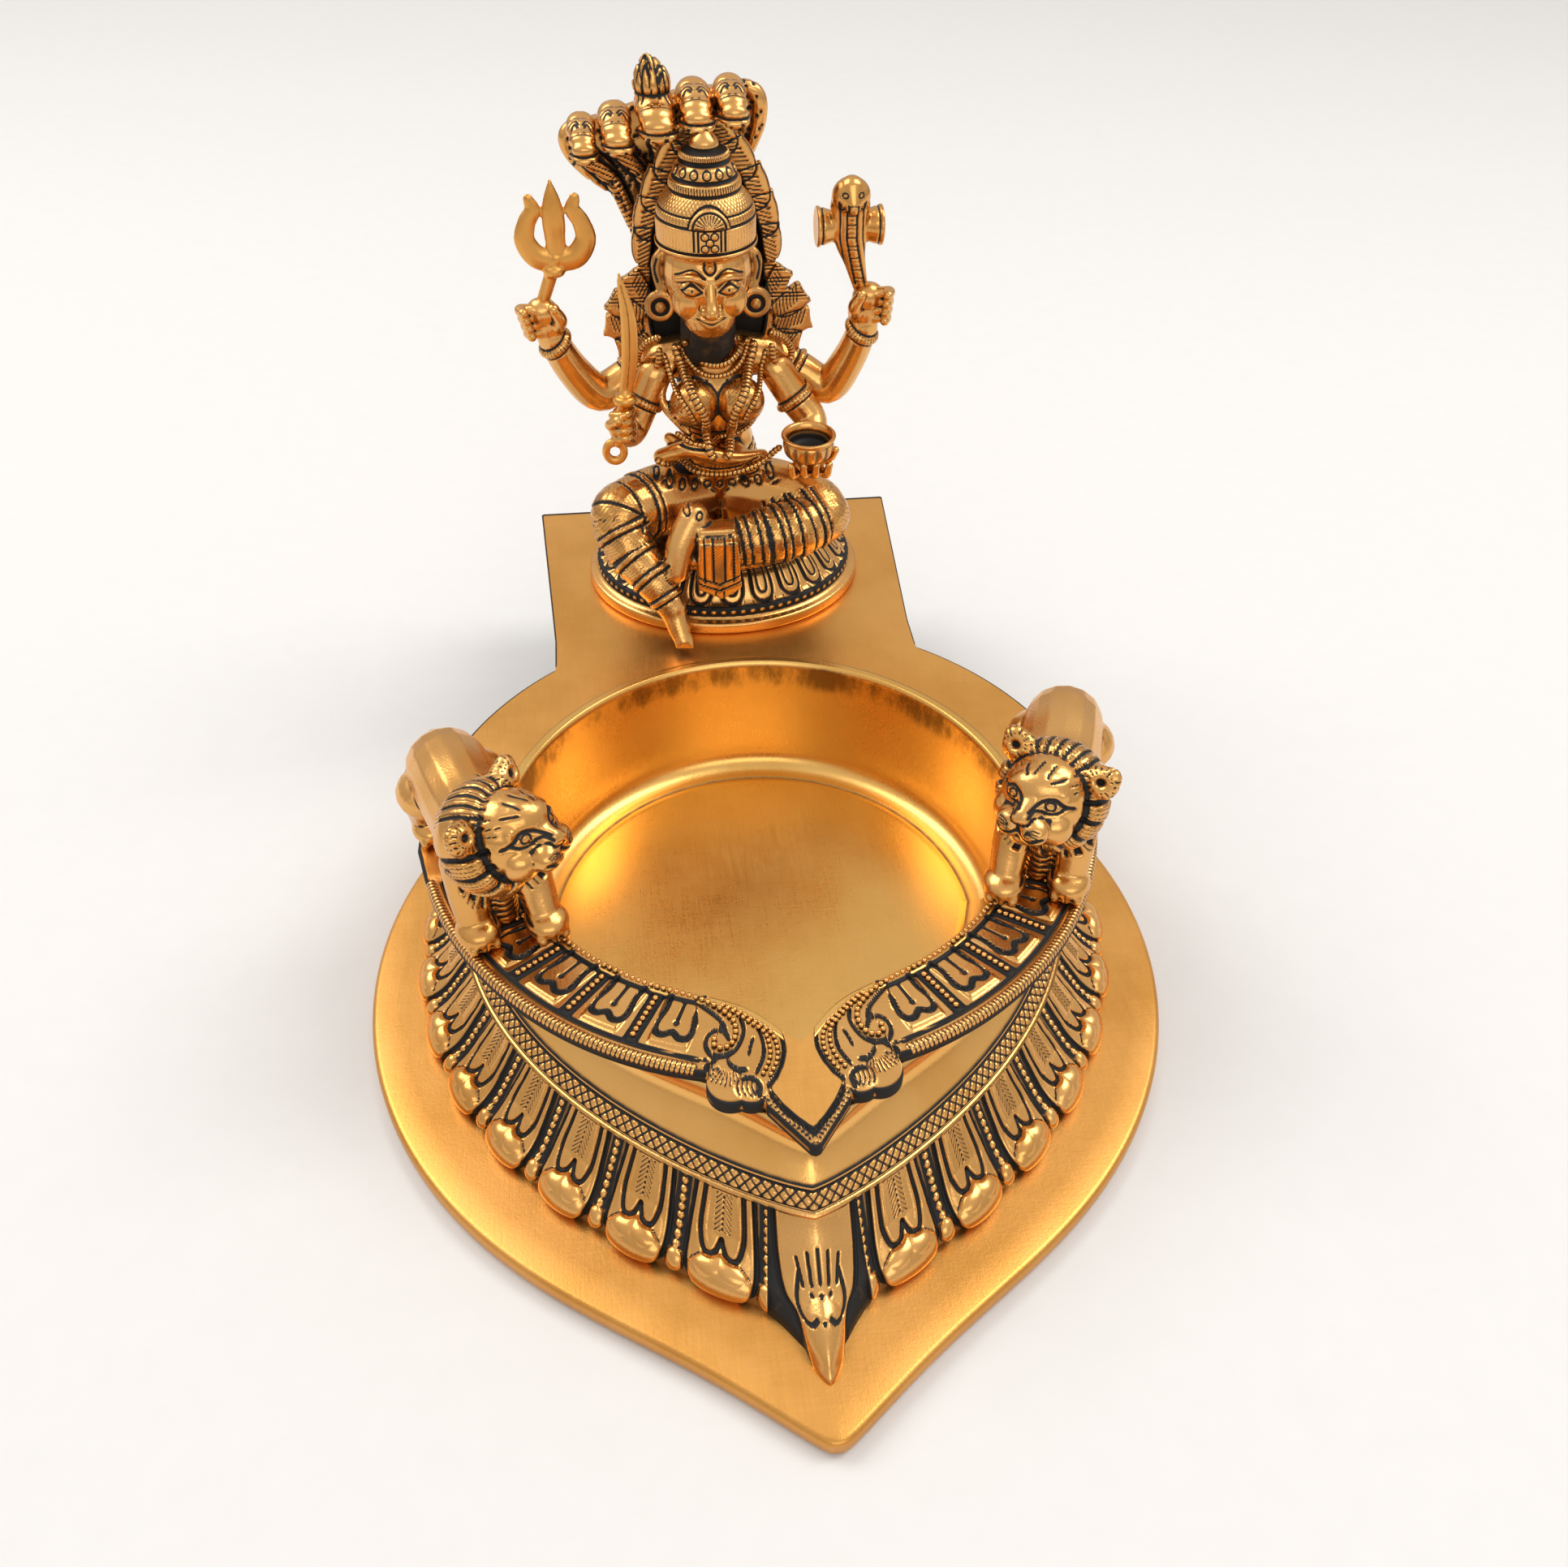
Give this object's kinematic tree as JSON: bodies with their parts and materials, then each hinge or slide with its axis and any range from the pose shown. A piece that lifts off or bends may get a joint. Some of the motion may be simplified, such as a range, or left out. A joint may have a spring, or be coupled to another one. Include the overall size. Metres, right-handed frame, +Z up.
{
  "type": "brass oil lamp",
  "caption": "Leaf-shaped brass oil bowl in a carved rim with spout, on a lotus skirt and base plate, with lions on the rim and a seated four-armed goddess under a serpent hood behind.",
  "frame": {"origin": "on the underside of the base plate, straight below the centre of the bowl's round rear arc", "axes": "+Z up; -Y towards the spout and the viewer, +Y towards the goddess; +X to the right of someone facing the goddess"},
  "size_m": [0.1966, 0.2718, 0.1863],
  "materials": {
    "satin_brass": "satin brushed brass, light handling marks",
    "antique_brass": "cast and carved brass, polished high spots, black patina in the recesses",
    "bowl_brass": "turned satin brass with dark scuffs below the rim",
    "bare_brass": "plain cast brass",
    "steel": "plain zinc-plated screws"
  },
  "bodies": {
    "root": {"base_plate": "satin_brass", "lotus_skirt": "antique_brass", "neck_collar": "satin_brass", "oil_bowl": "bowl_brass", "rim_deck": "satin_brass", "bowl_pads": "bare_brass", "bowl_screws": "steel", "lion_left": "antique_brass", "lion_right": "antique_brass", "lion_screws": "steel", "lotus_seat": "antique_brass", "seat_screws": "steel", "seat_washers": "steel", "goddess_body": "antique_brass", "crowned_head": "antique_brass", "flame_arch": "antique_brass", "serpent_hood": "antique_brass", "rear_arm_left": "antique_brass", "rear_arm_right": "antique_brass", "front_arm_left": "antique_brass", "front_arm_right": "antique_brass", "trident": "satin_brass", "curved_sword": "satin_brass", "cobra_drum": "antique_brass", "offering_cup": "antique_brass"}
  },
  "joints": []
}
